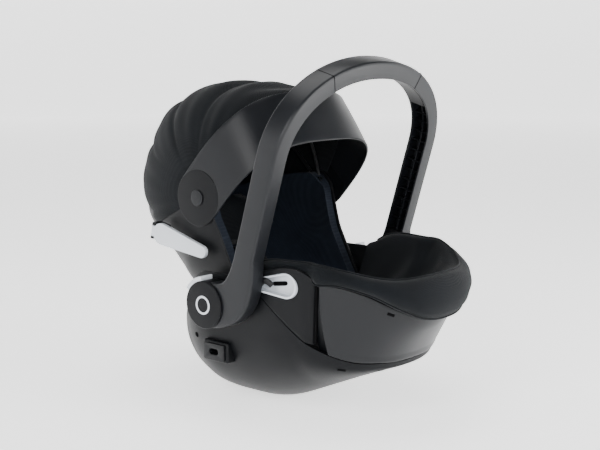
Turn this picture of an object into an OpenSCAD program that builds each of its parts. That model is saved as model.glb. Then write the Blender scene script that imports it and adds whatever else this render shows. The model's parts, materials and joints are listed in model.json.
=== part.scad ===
/* Infant car seat with a carry handle, folding hood, reclining back and sliding leg rest.
   Frame: X across the seat, toes towards -Y, head towards +Y, Z up, floor at Z = 0. */

/* [Lower shell] */
// Half width of the lower shell at the top of its bilge
shell_half_width = 169; // [168:0.5:170]
// Distance of the toe of the lower shell in front of the origin
shell_toe = 229; // [226:1:231]
// Distance of the heel of the lower shell behind the origin
shell_heel = 200; // [197:1:202]
// Wall thickness of the moulded shells
wall = 4; // [3.5:0.25:4]

/* [Handle] */
// Distance of the handle pivot behind the origin
pivot_y = 17; // [16.5:0.5:17.5]
// Height of the handle pivot above the floor
pivot_z = 180; // [179:0.5:181]
// Half width of the handle over its arms
arm_outer = 211.5; // [211:0.5:213]
// Height of the centre line of the grip
handle_top = 548; // [545:1:560]
// Thickness of a handle arm across the seat
arm_thick = 28; // [27:0.5:28]
// Depth of a handle arm along the seat
arm_depth = 37; // [34:1:38]

/* [Backrest] */
// Lean of the back above the horizontal
back_lean = 41; // [40.5:0.5:41.5]
// Half width of the back shell above the rim of the lower shell
back_half_width = 160; // [159:0.5:160]

/* [Hood] */
// Height of the hood pivot above the floor
hood_z = 339; // [338:1:340]
// Distance of the hood pivot behind the origin
hood_y = 77; // [76:1:78]
// Half width of the visor over its pivots
visor_half_width = 165; // [165:0.5:166]
// Reach of the visor from its pivot to its crown
visor_reach = 174; // [173:1:176]
// Width of the visor band
visor_band = 92; // [88:1:93]

/* [Leg rest] */
// Half width of the leg rest shell at its rim
leg_half_width = 182; // [181:0.5:182]
// Distance of the toe of the leg rest shell in front of the origin
leg_toe = 272; // [270:1:274]

/* [Hidden] */
charcoal = "#26282c";
black = "#15171a";
fabric_black = "#0f1317";
silver = "#c9ccd0";
steel = "#9a9da1";
foam_grey = "#3a3c40";
webbing_grey = "#1d2024";
button_red = "#b3261e";

// ---------------------------------------------------------------- general shapes

function clamp(v, lo, hi) = min(hi, max(lo, v));
function ramp(v) = let (t = clamp(v, 0, 1)) t * t * (3 - 2 * t);
function mix(a, b, t) = a + (b - a) * t;
function power(v, p) = sign(v) * pow(abs(v), p);
function reversed(list) = [for (i = [len(list) - 1 : -1 : 0]) list[i]];
function middle(list) = [for (k = [0 : 2]) sum_of([for (p = list) p[k]]) / len(list)];
function sum_of(list, i = 0) = i == len(list) ? 0 : list[i] + sum_of(list, i + 1);

// Value at s of the straight lines through [s, value] stations.
function station(list, s, i = 0) = s <= list[0][0] ? list[0][1]
    : i == len(list) - 1 ? list[i][1]
    : s < list[i + 1][0] ? mix(list[i][1], list[i + 1][1], (s - list[i][0]) / (list[i + 1][0] - list[i][0]))
    : station(list, s, i + 1);

// Plan outline: a rounded toe about y = front, straight sides, a rounded heel about y = rear.
arc_steps = 14;
side_steps = 5;
plan_power = 2.2;
function outline(half, front, toe, rear, heel, toe_power = plan_power, heel_power = 2) = [
    for (i = [0 : arc_steps]) let (a = 180 + 180 * i / arc_steps)
        [half * power(cos(a), 2 / toe_power), front + toe * power(sin(a), 2 / toe_power)],
    for (i = [1 : side_steps]) [half, mix(front, rear, i / (side_steps + 1))],
    for (i = [0 : arc_steps]) let (a = 180 * i / arc_steps)
        [half * power(cos(a), 2 / heel_power), rear + heel * power(sin(a), 2 / heel_power)],
    for (i = [1 : side_steps]) [-half, mix(rear, front, i / (side_steps + 1))]];

// Faces between the rings of a stack.
function band_faces(n, m) = [for (k = [0 : m - 2], i = [0 : n - 1]) let (j = (i + 1) % n)
    each [[k * n + i, (k + 1) * n + i, (k + 1) * n + j], [k * n + i, (k + 1) * n + j, k * n + j]]];

// A solid through rings of equal length, closed at both ends with a fan.
module stack(rings) {
    n = len(rings[0]);
    m = len(rings);
    points = [for (r = rings) each r, middle(rings[0]), middle(rings[m - 1])];
    caps = [for (i = [0 : n - 1]) let (j = (i + 1) % n)
        each [[m * n, i, j], [m * n + 1, (m - 1) * n + j, (m - 1) * n + i]]];
    polyhedron(points, concat(band_faces(n, m), caps), convexity = 8);
}

// Closes a mirror-symmetric outline with strips that run straight across from side to side.
function across_faces(n, first, way) = [for (i = [arc_steps / 2 : arc_steps / 2 + n / 2 - 1])
    let (a = i % n, b = (i + 1) % n, c = (arc_steps - i - 1 + n) % n, d = (arc_steps - i + n) % n)
    each [for (f = [[a, b, c], [a, c, d]]) if (f[0] != f[1] && f[1] != f[2] && f[2] != f[0])
        way > 0 ? [first + f[0], first + f[1], first + f[2]] : [first + f[2], first + f[1], first + f[0]]]];

// A hull-like solid through plan outlines, closed with strips across.
module bowl(rings) {
    n = len(rings[0]);
    m = len(rings);
    polyhedron([for (r = rings) each r],
        concat(band_faces(n, m), across_faces(n, 0, 1), across_faces(n, (m - 1) * n, -1)), convexity = 8);
}

// A curved wall between two grids of points with the same rows and columns.
module wall_between(outer, inner) {
    rows = len(outer);
    cols = len(outer[0]);
    n = 2 * cols;
    points = [for (k = [0 : rows - 1]) each concat(outer[k], reversed(inner[k]))];
    caps = [for (i = [0 : cols - 2]) let (a = i, b = i + 1, c = n - 2 - i, d = n - 1 - i, e = (rows - 1) * n)
        each [[a, b, c], [a, c, d], [e + b, e + a, e + d], [e + b, e + d, e + c]]];
    polyhedron(points, concat(band_faces(n, rows), caps), convexity = 8);
}

// Draws the child on the right (+X) or its mirror image on the left.
module on_side(side) {
    if (side > 0) children();
    else mirror([1, 0, 0]) children();
}

// Extrudes an outline drawn in (Y, Z) from x0 to x1.
module along_x(x0, x1) translate([x0, 0, 0]) rotate([90, 0, 90]) linear_extrude(x1 - x0) children();

module rod_x(r, x0, x1, y, z) translate([x0, y, z]) rotate([0, 90, 0]) cylinder(r = r, h = x1 - x0, $fn = 64);

// An outline with round ends of two sizes, joined by their tangents.
end_steps = 16;
module paddle_outline(length, r0, r1) {
    tilt = asin((r0 - r1) / length);
    polygon([
        for (i = [0 : end_steps]) let (a = mix(90 - tilt, 270 + tilt, i / end_steps))
            [r0 * cos(a), r0 * sin(a)],
        for (i = [0 : end_steps]) let (a = mix(tilt - 90, 90 - tilt, i / end_steps))
            [length + r1 * cos(a), r1 * sin(a)]]);
}

// ---------------------------------------------------------------- lower shell

keel_half = 48;
keel_front = 212;
keel_rear = 150;
bow_y = -60;
stern_y = 40;
bilge_z = 140;
flare = 0.13;
bilge_steps = 7;
wall_steps = 3;
axle_r = 9;
axle_clear = 0.06;

// Height of the keel: flat in the middle, rising to the toe and to the heel.
function arc_rise(t, slope, blend) = t <= 0 ? 0
    : t < blend ? slope * t * t / (2 * blend)
    : slope * (t - blend / 2);
function keel_z(y) = foot_height + arc_rise(10 - y, 0.44, 80) + arc_rise(y - 85, 0.5, 40);

// Height of the rim: low at the toe, a diagonal up to the pivot, then down to the heel.
rim_stations = [[-230, 92], [-224, 95], [-201, 100], [-182, 108], [-158, 121], [-135, 134],
    [-57, 209], [-40, 226]];
function rim_z(y) = y < -40 ? station(rim_stations, y) : mix(226, 120, ramp((y - 45) / 125));

function shell_ring(drop, h, v, extra) = let (
    low = outline(keel_half - drop, bow_y, keel_front + bow_y - drop, stern_y, keel_rear - stern_y - drop),
    top = outline(shell_half_width - drop, bow_y, shell_toe + bow_y - drop, stern_y,
        shell_heel - stern_y - drop))
    [for (i = [0 : len(low) - 1]) let (
        p = low[i], q = top[i], z0 = keel_z(p[1]) + drop,
        z1 = min(bilge_z, rim_z(q[1]) - 6), z2 = rim_z(q[1]),
        x = mix(p[0], q[0], h), y = mix(p[1], q[1], h), z = mix(mix(z0, z1, v), z2, extra),
        grow = 1 + flare * max(0, z - bilge_z) / shell_half_width)
        [x * grow, y, z]];

function bilge_rings(drop, last) =
    [for (k = [0 : last]) let (a = 90 * k / bilge_steps) shell_ring(drop, pow(sin(a), 1.12), 1 - cos(a), 0)];
function side_rings(drop) = [for (k = [1 : wall_steps]) shell_ring(drop, 1, 1, k / wall_steps)];
function shell_rings(drop) = concat(bilge_rings(drop, bilge_steps), side_rings(drop));

socket_y = 33;
socket_z = 94;
socket_inner = 152;
socket_outer = 173;
bar_places = [-40, 100];
bar_r = 5;
bar_half = 44;
bar_window = [76, 26, 40];

module lower_shell() color(charcoal) difference() {
    union() {
        bowl(concat(shell_rings(0), reversed(shell_rings(wall))));
        for (side = [-1, 1]) on_side(side) translate([socket_inner, socket_y - 27, socket_z - 17])
            cube([socket_outer - socket_inner, 54, 34]);
    }
    for (side = [-1, 1]) on_side(side) {
        // slot on the flank, hole for the pivot axle, adapter pocket
        translate([140, -152, 96]) cube([40, 13, 4], center = true);
        rod_x(axle_r + 1, 150, 190, pivot_y, pivot_z);
        translate([159, socket_y - 9, socket_z - 5]) cube([20, 18, 10]);
    }
    for (y = bar_places) translate([0, y, 0]) cube(bar_window, center = true);
}

module latch_bars() color(steel) for (y = bar_places)
    rod_x(bar_r, -bar_half, bar_half, y, keel_z(y) + wall + bar_r + 1.8);

foam_rings = 4;
module foam_liner() color(foam_grey) difference() {
    bowl(bilge_rings(wall + 1.5, foam_rings));
    for (y = bar_places) translate([0, y, 10]) cube([100, 34, 40], center = true);
    for (p = screw_places) translate([p[0], p[1], 0]) cylinder(r = 8, h = 14, $fn = 32);
}

foot_places = [for (sx = [-1, 1], y = [18, 78]) [sx * 30, y]];
foot_r = 8;
foot_height = 2;
module rubber_feet() color(black) for (p = foot_places)
    translate(p) cylinder(r = foot_r, h = foot_height, $fn = 48);

screw_places = [for (sx = [-1, 1], y = [17, 62]) [sx * 20, y]];
module shell_screws() color(steel) for (p = screw_places)
    translate([p[0], p[1], foot_height + wall + 0.2]) cylinder(r = 5, h = 3, $fn = 48);

module hub_mount(side) color(charcoal) on_side(side) {
    rod_x(34, 179.2, 182.5, pivot_y, pivot_z);
    rod_x(axle_r, 148, 212, pivot_y, pivot_z);
}

module adapter_socket(side) color(black) on_side(side) difference() {
    translate([socket_outer + 0.1, socket_y - 22, socket_z - 13]) cube([4, 44, 26]);
    along_x(socket_outer - 1, socket_outer + 6) translate([socket_y - 5, socket_z]) {
        circle(r = 5, $fn = 48);
        translate([10, 0]) circle(r = 5, $fn = 48);
        translate([0, -5]) square([10, 10]);
    }
}

// ---------------------------------------------------------------- side panels and belt guides

panel_thick = 5.5;
panel_columns = 12;
panel_top = [[-163, 231], [-155, 241], [-140, 249], [-116, 251], [-81, 243], [-48, 229]];
flank_turn = -5;
flank_top = 233;
guide_rear = -3;
guide_length = 62;
guide_deep = 15;
guide_z = 219;
guide_r0 = 12;
guide_r1 = 20;
guide_tilt = -4;

// Half width of a toe outline at y, and of the flank that flares from the rim up to the leg rest rim.
function half_at(half, toe, y) = y > bow_y ? half
    : half * pow(1 - pow((bow_y - y) / (toe + bow_y), plan_power), 1 / plan_power);
function flank_x(y, z) = let (z0 = rim_z(y), grow = 1 + flare * max(0, z0 - bilge_z) / shell_half_width)
    mix(half_at(shell_half_width, shell_toe, y) * grow, half_at(leg_half_width, leg_toe, y),
        (z - z0) / (flank_top - z0));
// A column of the panel: from the diagonal rim at the bottom to the crowned top edge.
function panel_column(u, drop) = let (y0 = mix(-57, -148, u), y1 = mix(-48, -163, u),
        z0 = rim_z(y0) + 1.5, z1 = station(panel_top, y1))
    [for (k = [0 : 3]) let (y = mix(y0, y1, k / 3), z = mix(z0, z1, k / 3)) [flank_x(y, z) - drop, y, z]];
function panel_columns_at(drop) = [for (i = [0 : panel_columns]) panel_column(i / panel_columns, drop)];

// Turns its children to the slant of the flank, with the face of the flank at x = 0.
module at_flank(side) on_side(side) translate([leg_half_width, -58, 0]) rotate([0, 0, flank_turn]) children();
module guide_outline(grow) translate([guide_rear - guide_r0 - 2, guide_z]) rotate(180 + guide_tilt)
    paddle_outline(guide_length - 18, guide_r0 + grow, guide_r1 + grow);

module side_panel(side) color(charcoal) difference() {
    on_side(side) wall_between(panel_columns_at(0), panel_columns_at(panel_thick));
    at_flank(side) along_x(-20, 10) guide_outline(0.1);
}

module belt_guide(side) color(silver) at_flank(side) difference() {
    along_x(-guide_deep, -0.3) guide_outline(0);
    along_x(2 - guide_deep, 1) guide_outline(-2.5);
}

module belt_hook(side) color(black) at_flank(side) along_x(2.1 - guide_deep, 0.5)
    translate([guide_rear - 10, guide_z + 1]) rotate(180) paddle_outline(22, 5, 3.2);

// ---------------------------------------------------------------- seat cushion and harness

rail_x = 75;
rail_half = 5;
rail_bottom = 139;
module rail_guides() color(charcoal) for (sx = [-1, 1]) difference() {
    translate([sx * rail_x - 12, -204, 114]) cube([24, 54, 34]);
    translate([sx * rail_x - rail_half - 0.4, -205, rail_bottom - 0.4]) cube([2 * rail_half + 0.8, 56, 20]);
}

// Side views of the middle of the seat and of its side bolsters.
seat_profile = [[12, 64], [14, 92], [-40, 98], [-100, 122], [-142, 152], [-148, 152],
    [-148, 104], [-100, 86]];
bolster_rear = -36;
module seat_cushion() color(fabric_black) {
    along_x(-120, 120) polygon(seat_profile);
    for (side = [-1, 1]) on_side(side) {
        along_x(120, 138) polygon([[-22, 132], [bolster_rear, 226], [-60, 246], [-90, 257], [-147, 258],
            [-147, 134], [-100, 112], [-40, 112]]);
        along_x(138, 151) polygon([[-44, 224], [-60, 246], [-90, 257], [-147, 258], [-147, 195], [-100, 204]]);
        along_x(151, 164) polygon([[-66, 250], [-90, 258], [-128, 261], [-140, 257], [-140, 254], [-116, 255]]);
    }
}

buckle_y = -64;
buckle_z = 150;
module at_buckle() translate([0, buckle_y, buckle_z]) rotate([-32, 0, 0]) children();
module crotch_strap() color(webbing_grey) at_buckle() translate([-16, -1, -38]) cube([32, 3, 36]);
module crotch_pad() color(fabric_black) at_buckle() translate([-28, 3, -36]) cube([56, 7, 46]);
module buckle() color(black) at_buckle() difference() {
    translate([-24, -16, -1]) cube([48, 18, 44]);
    translate([-11, -17, 6]) cube([22, 8, 24]);
}
module buckle_button() color(button_red) at_buckle() translate([-10.5, -18.5, 6.5]) cube([21, 5, 23]);
module strap_tongues() color(steel) at_buckle() for (sx = [-1, 1])
    translate([sx * 13 - 8, -9, 43.3]) cube([16, 3, 20]);

adjuster_y = -134;
adjuster_z = 152;
module adjuster_housing() color(black) translate([0, adjuster_y, adjuster_z]) difference() {
    translate([-24, -12, 0.3]) cube([48, 30, 14]);
    translate([-13, -7, 6]) cube([26, 18, 12]);
}
module adjuster_button() color(silver)
    translate([-12.5, adjuster_y - 6.5, adjuster_z + 10.5]) cube([25, 17, 5]);

// ---------------------------------------------------------------- leg rest

leg_rear = -150;
leg_step_y = -171;
leg_tuck = 7;
leg_rows = 6;
leg_arc = 16;

// Plan line of the leg rest wall, from the left rear corner round the toe to the right rear corner.
function leg_line(half, toe) = let (
    long = toe + bow_y, first = asin(pow((bow_y - leg_step_y) / long, plan_power / 2)),
    step_x = half * power(cos(first), 2 / plan_power), tuck_x = step_x - leg_tuck)
    concat([[-tuck_x, leg_rear], [-tuck_x, leg_step_y + 4]],
    [for (i = [0 : leg_arc]) let (a = mix(180 - first, first, i / leg_arc))
        [half * power(cos(a), 2 / plan_power), bow_y - long * power(sin(a), 2 / plan_power)]],
    [[tuck_x, leg_step_y + 4], [tuck_x, leg_rear]]);

leg_rim = [[-273, 166], [-269, 176], [-258, 187], [-250, 195], [-232, 211], [-211, 221],
    [-186, 228], [-160, 226]];
function leg_rim_z(y) = station(leg_rim, y);
function leg_row(k, drop) = let (v = k / leg_rows, line = leg_line(
        mix(shell_half_width + 3, leg_half_width, sin(90 * v)) - drop,
        mix(shell_toe + 4, leg_toe, sin(90 * v)) - drop))
    [for (p = line) [p[0], p[1], mix(rim_z(max(p[1], -shell_toe)) + 3, leg_rim_z(p[1]), v)]];

floor_z = 150;
module leg_rest_shell() color(charcoal) {
    wall_between([for (k = [0 : leg_rows]) leg_row(k, 0)], [for (k = [0 : leg_rows]) leg_row(k, wall)]);
    translate([0, 0, floor_z]) linear_extrude(3)
        polygon(leg_line(shell_half_width + 6, leg_toe - 6));
}

module leg_rest_rails() color(steel) for (sx = [-1, 1])
    translate([sx * rail_x - rail_half, -230, rail_bottom]) cube([2 * rail_half, 80, floor_z - rail_bottom - 0.1]);

module leg_rest_cushion() color(fabric_black) {
    translate([0, 0, floor_z + 3.5]) linear_extrude(20)
        polygon([for (p = leg_line(150, 240)) [p[0], min(p[1], -163)]]);
}

// Collar of the foot cover: an oval roll that follows the rim, low and thick round the toe.
collar_sides = 12;
collar_steps = 30;
cover_half = 178;
cover_toe = 288;
cover_back = -168;
function collar_ring(i) = let (
    long = cover_toe + bow_y, first = asin(pow((bow_y - cover_back) / long, plan_power / 2)),
    a = mix(180 - first, first, i / collar_steps),
    x = cover_half * power(cos(a), 2 / plan_power), y = bow_y - long * power(sin(a), 2 / plan_power),
    toe = ramp((cover_back - y) / (cover_back + cover_toe)),
    low = leg_rim_z(min(-160, y + 12)) + 1.5, high = mix(262, 240, toe),
    z = (low + high) / 2, tall = (high - low) / 2, wide = mix(8, 16, toe),
    n = [x / pow(cover_half, 2), (y - bow_y) / pow(long, 2)], out = n / norm(n))
    [for (j = [0 : collar_sides - 1]) let (b = 360 * j / collar_sides, w = wide * cos(b), h = tall * sin(b))
        [x + out[0] * (w + 0.2 * h * toe), y + out[1] * (w + 0.2 * h * toe), z + h]];
module foot_cover() color(fabric_black) stack([for (i = [0 : collar_steps]) collar_ring(i)]);

// ---------------------------------------------------------------- backrest

// Point of the backrest: s up the back from the pivot, n square to it towards the child.
function back_yz(s, n) = [pivot_y + s * cos(back_lean) - n * sin(back_lean),
    pivot_z + s * sin(back_lean) + n * cos(back_lean)];
module at_back() translate([0, pivot_y, pivot_z]) rotate([back_lean, 0, 0]) children();

back_foot = -30;
back_head = 296;
back_deep = 112;
back_power = 2.5;
back_rows = 16;
back_cols = 22;
narrow_half = 152;
// Height of the side walls of the back above the pivot line, at stations up the back.
back_rim = [[-30, 16], [0, 26], [60, 50], [110, 76], [135, 94], [165, 94], [195, 62], [225, 20], [260, -34],
    [296, -66]];

function back_width(s) = mix(narrow_half, back_half_width, ramp((s - 62) / 62))
    * pow(1 - pow(max(0, s - 110) / 195, 2.3), 1 / 2.3);
function back_depth(s) = back_deep - 14 * ramp((s - 215) / 80);
function back_row(k, drop, rows = back_rows, s0 = back_foot, s1 = back_head) = let (
    s = mix(s0, s1, k / rows), rim = station(back_rim, s), a = back_width(s) - drop,
    b = rim + back_depth(s) - drop)
    [for (i = [0 : back_cols])
        let (t = 180 * i / back_cols, yz = back_yz(s, rim - b * power(sin(t), 2 / back_power)))
        [-a * power(cos(t), 2 / back_power), yz[0], yz[1]]];

module back_shell() color(charcoal) difference() {
    wall_between([for (k = [0 : back_rows]) back_row(k, 0)], [for (k = [0 : back_rows]) back_row(k, wall)]);
    rod_x(axle_r + 0.3, -190, 190, pivot_y, pivot_z);
    rod_x(hood_pin_r + 0.3, -190, 190, hood_y, hood_z);
}

cushion_rows = back_rows - 1;
function cushion_row(k, drop, sink) = let (
    s = mix(back_foot, back_head, k / back_rows), rim = station(back_rim, s), low = min(rim - 18, 46),
    a = back_width(s) - drop, b = rim + back_depth(s) - sink,
    first = asin(pow(min(0.6, (rim - low) / b), back_power / 2)))
    [for (i = [0 : back_cols]) let (
        t = mix(first, 180 - first, i / back_cols), yz = back_yz(s, rim - b * power(sin(t), 2 / back_power)))
        [-a * power(cos(t), 2 / back_power), yz[0], yz[1]]];
module back_cushion() color(fabric_black) difference() {
    wall_between([for (k = [0 : cushion_rows]) cushion_row(k, wall + 3, wall + 3)],
        [for (k = [0 : cushion_rows]) cushion_row(k, wall + 22, wall + 24)]);
    rod_x(axle_r + 3, -190, 190, pivot_y, pivot_z);
}

strap_x = 38;
module shoulder_straps() color(webbing_grey) at_back() for (sx = [-1, 1])
    translate([sx * strap_x - 19, 24, -71]) cube([38, 118, 2.5]);
module shoulder_pads() color(fabric_black) at_back() for (sx = [-1, 1])
    translate([sx * strap_x - 26, 30, -68]) cube([52, 108, 12]);

lever_s = 236;
module recline_handle() color(black) at_back()
    translate([-42, lever_s - 14, -back_deep - 12]) cube([84, 30, 9]);

// ---------------------------------------------------------------- headrest

head_rows = 5;
head_foot = 150;
head_top = 228;
head_power = 2.4;
function head_row(k, half, deep) = let (s = mix(head_foot, head_top, k / head_rows))
    [for (i = [0 : back_cols])
        let (t = 180 * i / back_cols, yz = back_yz(s, -20 - deep * power(sin(t), 2 / head_power)))
        [-half * power(cos(t), 2 / head_power), yz[0], yz[1]]];
function head_rows_of(half, deep) = [for (k = [0 : head_rows]) let (v = k / head_rows)
    head_row(k, half - 26 * pow(v, 3), deep - 14 * v)];
module headrest_shell() color(black) wall_between(head_rows_of(96, 50), head_rows_of(93, 47));
module headrest_cushion() color(fabric_black) wall_between(head_rows_of(92.5, 46.5), head_rows_of(75, 31));

// ---------------------------------------------------------------- side impact wings

wing_rear = [168, -24.5];
wing_tip = [78, 26];
wing_r0 = 18;
wing_r1 = 10;
wing_inner = 163;
wing_outer = 170;
wing_hinge_x = 166.5;
wing_barrel_r = 4;
wing_pin_r = 2.5;
wing_span = norm(wing_tip - wing_rear);
wing_angle = atan2(wing_tip[1] - wing_rear[1], wing_tip[0] - wing_rear[0]);

// Frame of a wing: the middle of its wide end at zero, its length along the second axis.
module wing_place(side) on_side(side) translate([0, pivot_y, pivot_z]) rotate([back_lean, 0, 0])
    translate([0, wing_rear[0], wing_rear[1]]) rotate([wing_angle, 0, 0]) children();
hinge_back = -wing_r0 - 2.5;
knuckle = 9;

module impact_wing(side) color(silver) wing_place(side) difference() {
    union() {
        translate([wing_inner, 0, 0]) rotate([90, 0, 90]) linear_extrude(wing_outer - wing_inner)
            paddle_outline(wing_span - wing_r0 + wing_r1, wing_r0, wing_r1);
        translate([wing_inner + 1, hinge_back, -knuckle]) cube([5, 12, 2 * knuckle]);
        translate([wing_hinge_x, hinge_back, -knuckle]) cylinder(r = wing_barrel_r, h = 2 * knuckle, $fn = 48);
    }
    translate([wing_hinge_x, hinge_back, -knuckle - 1])
        cylinder(r = wing_pin_r + 0.05, h = 2 * knuckle + 2, $fn = 48);
}
module wing_pin(side) color(steel) wing_place(side)
    translate([wing_hinge_x, hinge_back, -knuckle - 4.5]) cylinder(r = wing_pin_r, h = 2 * knuckle + 9, $fn = 48);
module wing_bracket(side) color(black) wing_place(side) difference() {
    union() {
        translate([back_half_width - 11.5, hinge_back - 4, -knuckle - 4.5]) cube([4, 24, 2 * knuckle + 9]);
        for (z0 = [-knuckle - 4.5, knuckle + 0.5]) {
            translate([wing_hinge_x, hinge_back, z0]) cylinder(r = wing_barrel_r, h = 4, $fn = 48);
            translate([back_half_width - 11.5, hinge_back - 4, z0])
                cube([wing_hinge_x - back_half_width + 11, 7, 4]);
        }
    }
    translate([wing_hinge_x, hinge_back, -knuckle - 6])
        cylinder(r = wing_pin_r + 0.05, h = 2 * knuckle + 12, $fn = 48);
}

// ---------------------------------------------------------------- hood

hood_pin_r = 4;
band_side = 43;
band_crown = 57;
reach_angle = 131.5;
visor_power = 3.2;
visor_cols = 36;
visor_across = 6;
visor_thick = 3;

module hood_pin(side) color(steel) on_side(side) {
    rod_x(hood_pin_r, 141, visor_half_width + 0.6, hood_y, hood_z);
    rod_x(hood_pin_r + 4, visor_half_width + 0.6, visor_half_width + 1.6, hood_y, hood_z);
}

// A band of constant width that leaves the pivots flat and arches over the crown.
function visor_point(u, t, drop) = let (
    h = power(sin(t), 2 / visor_power), across = mix(band_side, band_crown, h),
    reach = (visor_reach - drop) * h)
    [-(visor_half_width - drop) * power(cos(t), 2 / visor_power),
        hood_y + reach * cos(reach_angle) + u * cos(across),
        hood_z + reach * sin(reach_angle) + u * sin(across)];
function visor_row(k, drop) = let (t = 180 * k / visor_cols)
    [for (i = [0 : visor_across]) visor_point(visor_band * (0.5 - i / visor_across), t, drop)];
module visor() color(charcoal) difference() {
    union() {
        wall_between([for (k = [0 : visor_cols]) visor_row(k, 0)],
            [for (k = [0 : visor_cols]) visor_row(k, visor_thick)]);
        for (side = [-1, 1]) on_side(side)
            rod_x(visor_band / 2, visor_half_width - visor_thick - 0.3, visor_half_width + 0.3, hood_y, hood_z);
    }
    rod_x(hood_pin_r + 0.05, -190, 190, hood_y, hood_z);
}

// Distance of the hood cloth from the pivot line, at angles round the pivot.
hood_reach = [[-30, 204], [-12, 217], [2, 222], [14, 217], [28, 205], [43, 195], [52, 189], [58, 182], [72, 166],
    [87, 158], [126, 152]];
hood_rows = 19;
hood_from = -26;
hood_to = 122;
hood_half = 158;
hood_cols = 26;
end_angle = 3;
function hood_row(k, drop) = let (g = mix(hood_from, hood_to, k / hood_rows), r = station(hood_reach, g) - drop)
    [for (i = [0 : hood_cols])
        let (t = mix(end_angle, 180 - end_angle, i / hood_cols), d = r * power(sin(t), 2 / 3))
        [-(hood_half - drop) * power(cos(t), 2 / 3), hood_y + d * cos(g), hood_z + d * sin(g)]];
module hood_fabric() color(fabric_black) difference() {
    wall_between([for (k = [0 : hood_rows]) hood_row(k, 0)], [for (k = [0 : hood_rows]) hood_row(k, 3)]);
    // everything below the rim of the back shell
    along_x(-200, 200) polygon(concat([for (p = back_rim) back_yz(p[0], p[1] + 1.5)],
        [back_yz(back_head + 8, -90), back_yz(back_head + 8, -300), back_yz(-200, -300), back_yz(-60, 0)]));
}

bow_r = 3;
bow_sides = 8;
bow_steps = 24;
function bow_ring(i, half, reach, g) = let (
    t = mix(0.4, 179.6, i / bow_steps), d = reach * power(sin(t), 2 / 3), x = -half * power(cos(t), 2 / 3),
    lean = atan2(reach * cos(t), half * sin(t)))
    [for (j = [0 : bow_sides - 1]) let (b = 360 * j / bow_sides, w = bow_r * cos(b), h = bow_r * sin(b),
        q = d + w * cos(lean))
        [x + w * sin(lean) * -1, hood_y + q * cos(g) - h * sin(g), hood_z + q * sin(g) + h * cos(g)]];
module bow(half, reach, g) color(black) difference() {
    union() {
        stack([for (i = [0 : bow_steps]) bow_ring(i, half, reach, g)]);
        for (side = [-1, 1]) on_side(side) rod_x(9, half - 2, half + 2, hood_y, hood_z);
    }
    rod_x(hood_pin_r + 0.05, -190, 190, hood_y, hood_z);
}

// ---------------------------------------------------------------- handle

arm_x = arm_outer - arm_thick / 2;
arm_start = [-64, 262];
arch_z = 414;
arm_slope = (-148 - arm_start[0]) / (548 - arm_start[1]);
arch_power = 2.15;
hub_r = 38;
hub_inner = arm_outer - arm_thick;
hub_outer = 216;
button_from = 30;
button_span = 52;

function arm_y(z) = arm_start[0] + arm_slope * (z - arm_start[1]);
arm_steps = 8;
arch_steps = 30;
// Centre line of the handle, from the left arm over the grip to the right arm.
function path_point(x, z) = [x, arm_y(z), z];
handle_path = concat(
    [for (i = [0 : arm_steps - 1]) path_point(-arm_x, mix(arm_start[1] - 6, arch_z, i / arm_steps))],
    [for (i = [0 : arch_steps]) let (a = 180 - 180 * i / arch_steps)
        path_point(arm_x * power(cos(a), 2 / arch_power),
            arch_z + (handle_top - arch_z) * power(sin(a), 2 / arch_power))],
    [for (i = [arm_steps - 1 : -1 : 0]) path_point(arm_x, mix(arm_start[1] - 6, arch_z, i / arm_steps))]);

plane_n = [0, 1, -arm_slope] / norm([0, 1, -arm_slope]);
function tangent(i) = let (a = handle_path[max(0, i - 1)], b = handle_path[min(len(handle_path) - 1, i + 1)])
    (b - a) / norm(b - a);
// Places a section, drawn as [outward, fore and aft], on point i of the path.
function section_at(i, shape) = let (out = cross(tangent(i), plane_n))
    [for (p = reversed(shape)) handle_path[i] + out * p[0] + plane_n * p[1]];

ht = arm_thick / 2;
hd = arm_depth / 2;
web = 4;
flange = 3.5;
rib_half = 1.3;
rib_edge = -6;
channel = [[ht, -hd + 5], [ht, hd - 5], [ht - 4, hd], [-ht, hd], [-ht, hd - flange], [ht - web, hd - flange],
    [ht - web, rib_half], [rib_edge, rib_half], [rib_edge, -rib_half], [ht - web, -rib_half],
    [ht - web, -hd + flange], [-ht, -hd + flange], [-ht, -hd], [ht - 4, -hd]];

// Side view of the hook that joins an arm to its hub.
function bezier(p, t) = pow(1 - t, 3) * p[0] + 3 * pow(1 - t, 2) * t * p[1]
    + 3 * (1 - t) * t * t * p[2] + pow(t, 3) * p[3];
hook_curve = [[pivot_y, pivot_z], [-44, 178], [-56, 214], arm_start];
hook_steps = 14;
function hook_edge(i, way) = let (
    t = i / hook_steps, p = bezier(hook_curve, t), q = bezier(hook_curve, t + 0.01), d = (q - p) / norm(q - p),
    half = mix(hub_r - 1, hd / cos(atan(arm_slope)) * 0.985, pow(t, 1.3)))
    p + way * half * [-d[1], d[0]];
module hook_outline() polygon(concat(
    [for (i = [0 : hook_steps]) hook_edge(i, 1)], [for (i = [hook_steps : -1 : 0]) hook_edge(i, -1)]));

module button_ring(r0, r1, from, span, x0, x1) translate([x0, pivot_y, pivot_z]) rotate([90, 0, 90])
    rotate(from) rotate_extrude(angle = span, $fn = 128) translate([r0, 0]) square([r1 - r0, x1 - x0]);

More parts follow.
